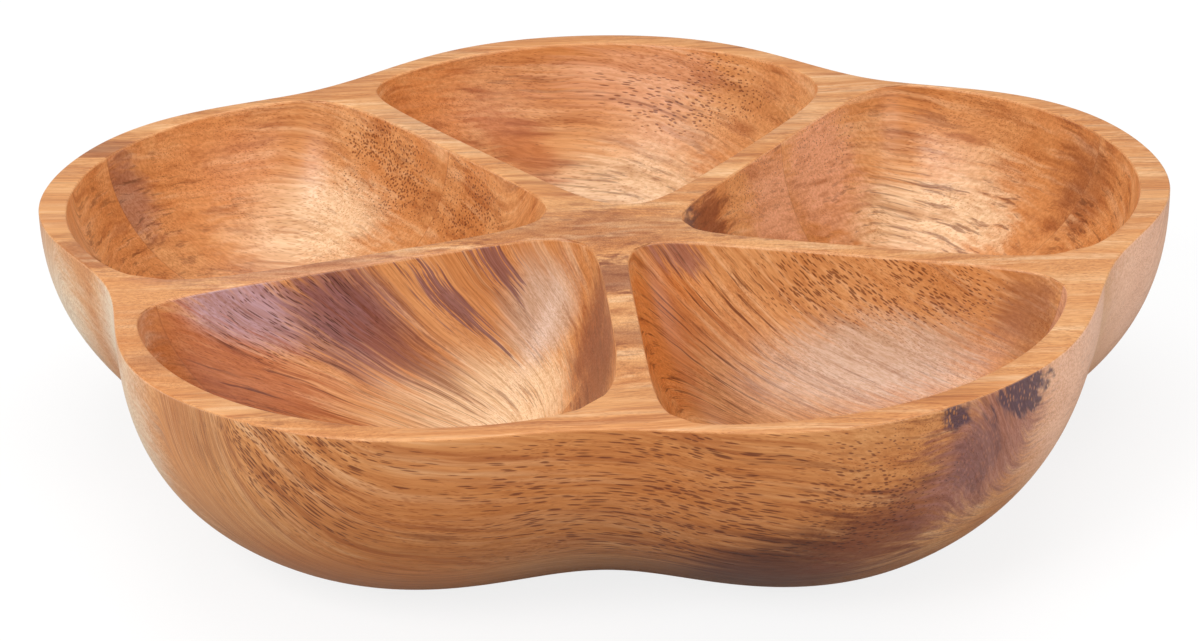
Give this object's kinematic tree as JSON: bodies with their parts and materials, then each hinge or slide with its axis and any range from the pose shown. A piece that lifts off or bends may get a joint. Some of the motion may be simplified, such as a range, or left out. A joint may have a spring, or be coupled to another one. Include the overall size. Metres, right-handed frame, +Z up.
{
  "type": "divided serving bowl",
  "caption": "Low round wooden serving bowl with a lobed flower outline, a carved compartment in each lobe and narrow ribs that meet at a flat hub.",
  "frame": {"origin": "middle of the flat foot, on the surface that the bowl stands on, straight below the hub", "axes": "+Z up out of the compartments; +X to the right along the boards and their grain; -Y towards the front, where two lobes meet in a notch"},
  "size_m": [0.3066, 0.2859, 0.062],
  "materials": {
    "front_wood": "satin oiled",
    "middle_wood": "satin oiled",
    "back_wood": "satin oiled"
  },
  "bodies": {
    "root": {"front_board": "front_wood", "middle_board": "middle_wood", "back_board": "back_wood"}
  },
  "joints": []
}
